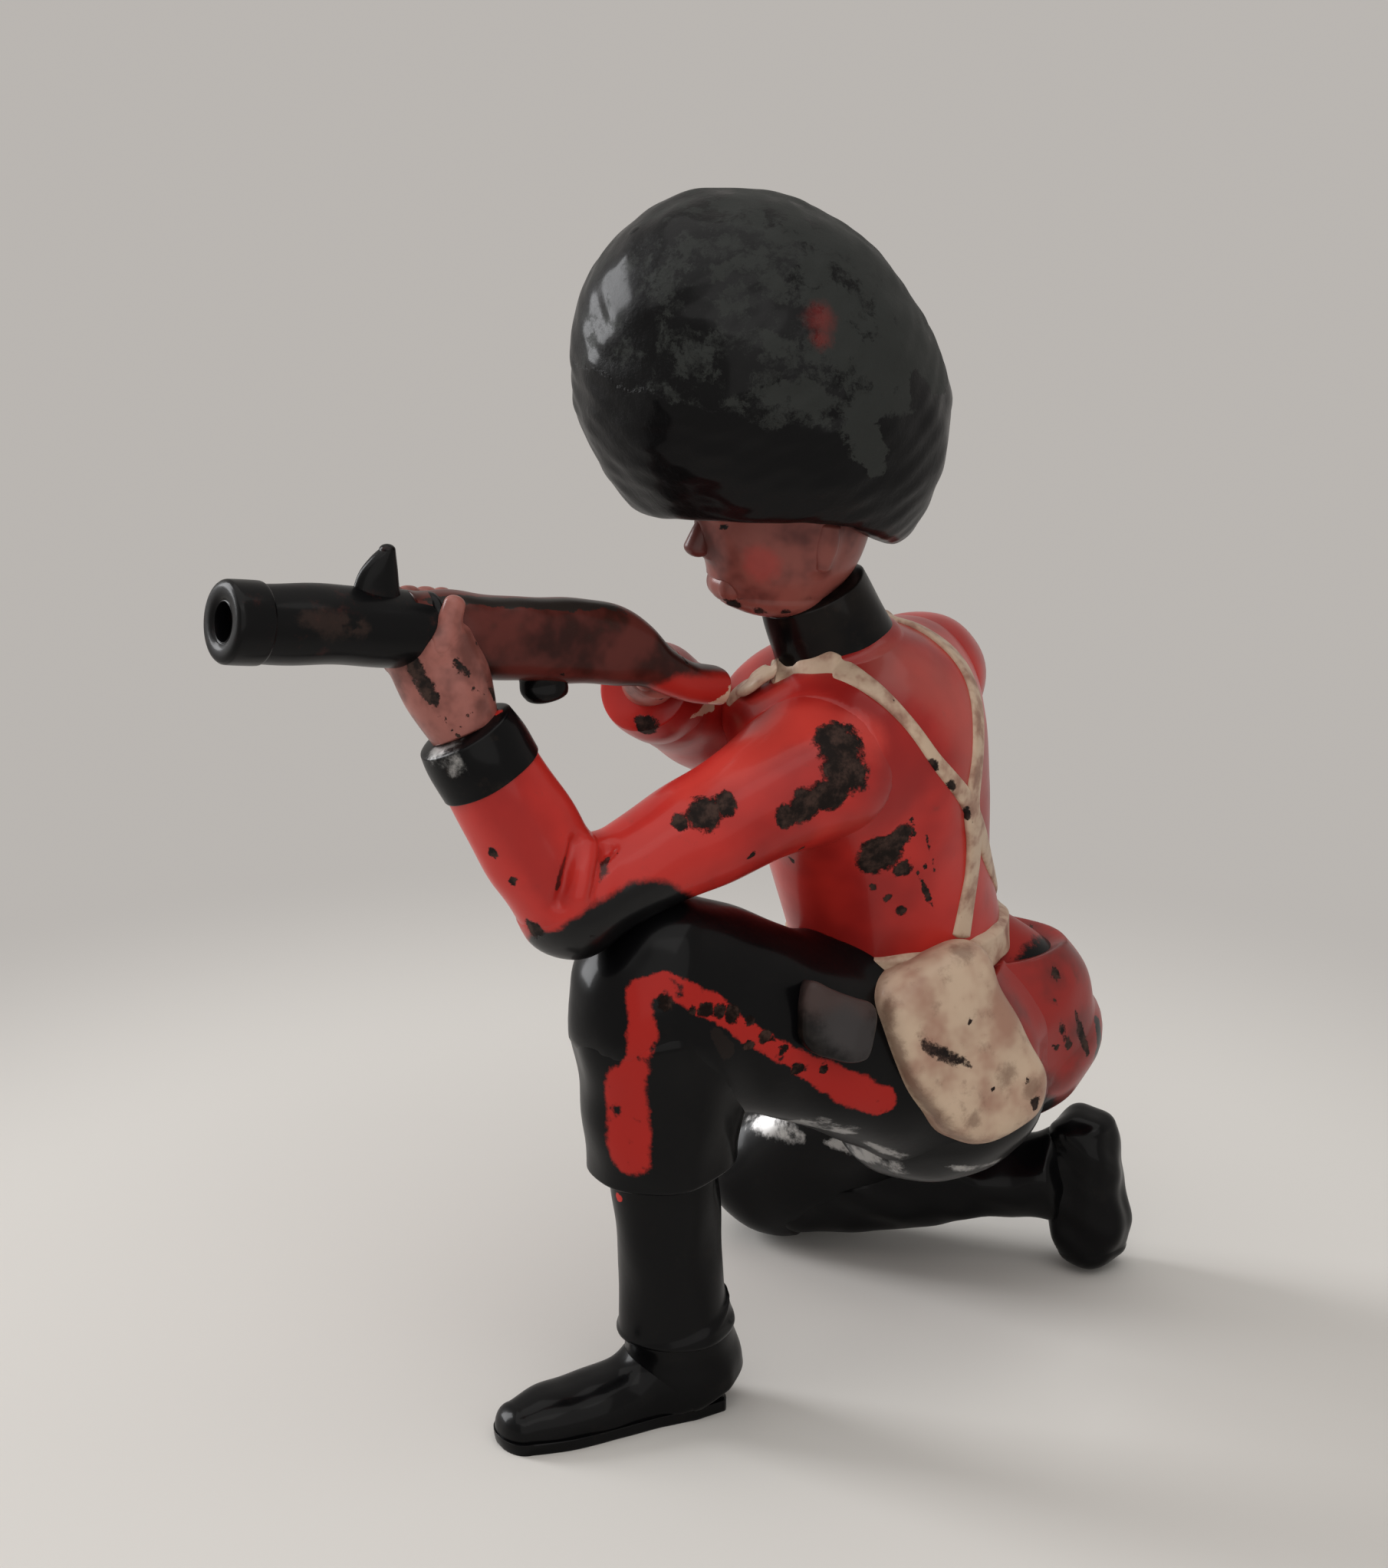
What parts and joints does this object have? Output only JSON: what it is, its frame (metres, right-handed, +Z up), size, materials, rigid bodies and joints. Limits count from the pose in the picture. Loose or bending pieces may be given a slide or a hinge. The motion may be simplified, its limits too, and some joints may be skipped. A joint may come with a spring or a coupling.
{
  "type": "toy soldier",
  "caption": "Painted cast-metal toy guardsman in a tall fur cap, kneeling on one knee and aiming a rifle.",
  "frame": {"origin": "on the ground, under the middle of the figure's bounding box", "axes": "+Z up; the figure faces and aims along -X, its left side towards -Y"},
  "size_m": [0.0388, 0.0194, 0.0446],
  "materials": {
    "cap_black": "Worn glossy black enamel",
    "flesh": "Worn brownish-pink enamel",
    "collar_black": "Glossy black enamel",
    "tunic_red": "Glossy red enamel, chipped to dark metal",
    "trousers_black": "Glossy black enamel with a broken red stripe",
    "boot_black": "Glossy black enamel, worn at the edges",
    "gunmetal": "Dark grey enamel, worn",
    "stock_brown": "Brown-red enamel, worn black on its edges",
    "buff": "Buff enamel, stained",
    "pouch_grey": "Worn grey-brown enamel"
  },
  "bodies": {
    "root": {"fur_cap": "cap_black", "head": "flesh", "collar": "collar_black", "tunic": "tunic_red", "tunic_skirt": "tunic_red", "trouser_seat": "trousers_black", "waist_belt": "buff", "left_cross_strap": "buff", "right_cross_strap": "buff", "left_upper_sleeve": "tunic_red", "left_lower_sleeve": "tunic_red", "left_cuff": "collar_black", "left_hand": "flesh", "right_upper_sleeve": "tunic_red", "right_lower_sleeve": "tunic_red", "right_cuff": "collar_black", "right_hand": "flesh", "rifle_stock": "stock_brown", "rifle_barrel": "gunmetal", "muzzle_ring": "gunmetal", "rear_sight": "gunmetal", "magazine": "gunmetal", "left_thigh": "trousers_black", "left_trouser_leg": "trousers_black", "left_gaiter": "boot_black", "left_boot": "boot_black", "left_sole": "boot_black", "right_thigh": "trousers_black", "right_trouser_leg": "trousers_black", "right_boot": "boot_black", "right_sole": "boot_black", "haversack": "buff", "haversack_flap": "buff", "belt_pouch": "pouch_grey"}
  },
  "joints": []
}
